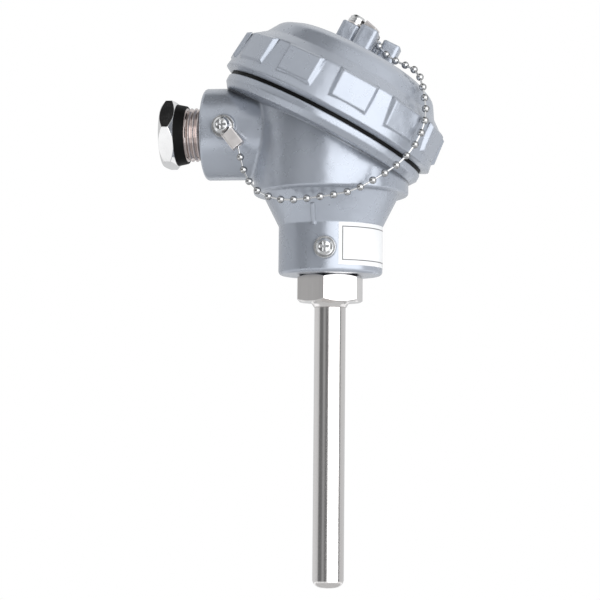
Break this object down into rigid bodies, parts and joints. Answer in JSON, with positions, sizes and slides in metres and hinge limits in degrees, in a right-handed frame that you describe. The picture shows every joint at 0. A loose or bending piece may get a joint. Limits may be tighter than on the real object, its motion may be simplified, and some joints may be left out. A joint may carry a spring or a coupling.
{
  "type": "thermocouple with connection head",
  "caption": "Straight metal-sheathed thermocouple with a cast connection head, tilted screw cap on a bead chain, cable gland and hexagon fitting.",
  "frame": {"origin": "on the stem's axis, where the bare tube ends under the stem fitting", "axes": "+Z along the stem towards the head; the cable gland points along -X, the screw cap leans towards +X, and the chain hangs on the -Y side"},
  "size_m": [0.1091, 0.0886, 0.2204],
  "materials": {
    "head_paint": "semi-gloss",
    "black_rubber": "matte",
    "seal_rubber": "matte",
    "plated_brass": "polished",
    "zinc_steel": "polished",
    "stainless": "satin",
    "ceramic": "matte",
    "brass": "satin",
    "positive_wire": "satin",
    "negative_wire": "satin"
  },
  "bodies": {
    "housing": {"head_housing": "head_paint", "stem_fitting": "stainless", "protection_tube": "stainless", "gland_washer": "plated_brass", "gland_seal": "seal_rubber", "boss_washer": "zinc_steel", "lower_clasp": "plated_brass", "boss_lock_washer": "zinc_steel", "boss_screw": "zinc_steel", "neck_washer": "zinc_steel", "neck_screw": "zinc_steel", "chain_beads": "plated_brass", "chain_links": "plated_brass", "terminal_block": "ceramic", "terminal_positive": "brass", "terminal_negative": "brass", "terminal_screws": "zinc_steel", "block_screws": "zinc_steel", "insulators": "ceramic", "wire_positive": "positive_wire", "wire_negative": "negative_wire", "hot_junction": "positive_wire"},
    "gasket": {"cap_gasket": "black_rubber"},
    "cap": {"screw_cap": "head_paint", "cap_screw": "zinc_steel", "cap_lock_washer": "zinc_steel", "upper_clasp": "plated_brass"},
    "gland_ring": {"gland_ring": "black_rubber"},
    "gland_screw": {"gland_screw": "plated_brass"}
  },
  "joints": [
    {"name": "cap_lift", "type": "slide", "parent": "housing", "child": "gasket", "axis": [0.4644, 0, 0.8856], "range_m": [0, 0.006], "deforming": ["chain_beads", "chain_links"]},
    {"name": "cap_turn", "type": "hinge", "parent": "gasket", "child": "cap", "pos_m": [-0.00245, 0, 0.07105], "axis": [0.4644, 0, 0.8856], "range_deg": [0, 1080]},
    {"name": "gland_slide", "type": "slide", "parent": "housing", "child": "gland_ring", "axis": [-1, 0, 0], "range_m": [-0.00635, 0.00635]},
    {"name": "gland_turn", "type": "hinge", "parent": "gland_ring", "child": "gland_screw", "pos_m": [-0.0625, 0, 0.0675], "axis": [-1, 0, 0], "range_deg": [-1260, 1260]}
  ],
  "couplings": [
    {"joint": "cap_lift", "follows": "cap_turn", "m_per_rad": 0.00031831},
    {"joint": "gland_slide", "follows": "gland_turn", "m_per_rad": 0.00028871}
  ]
}
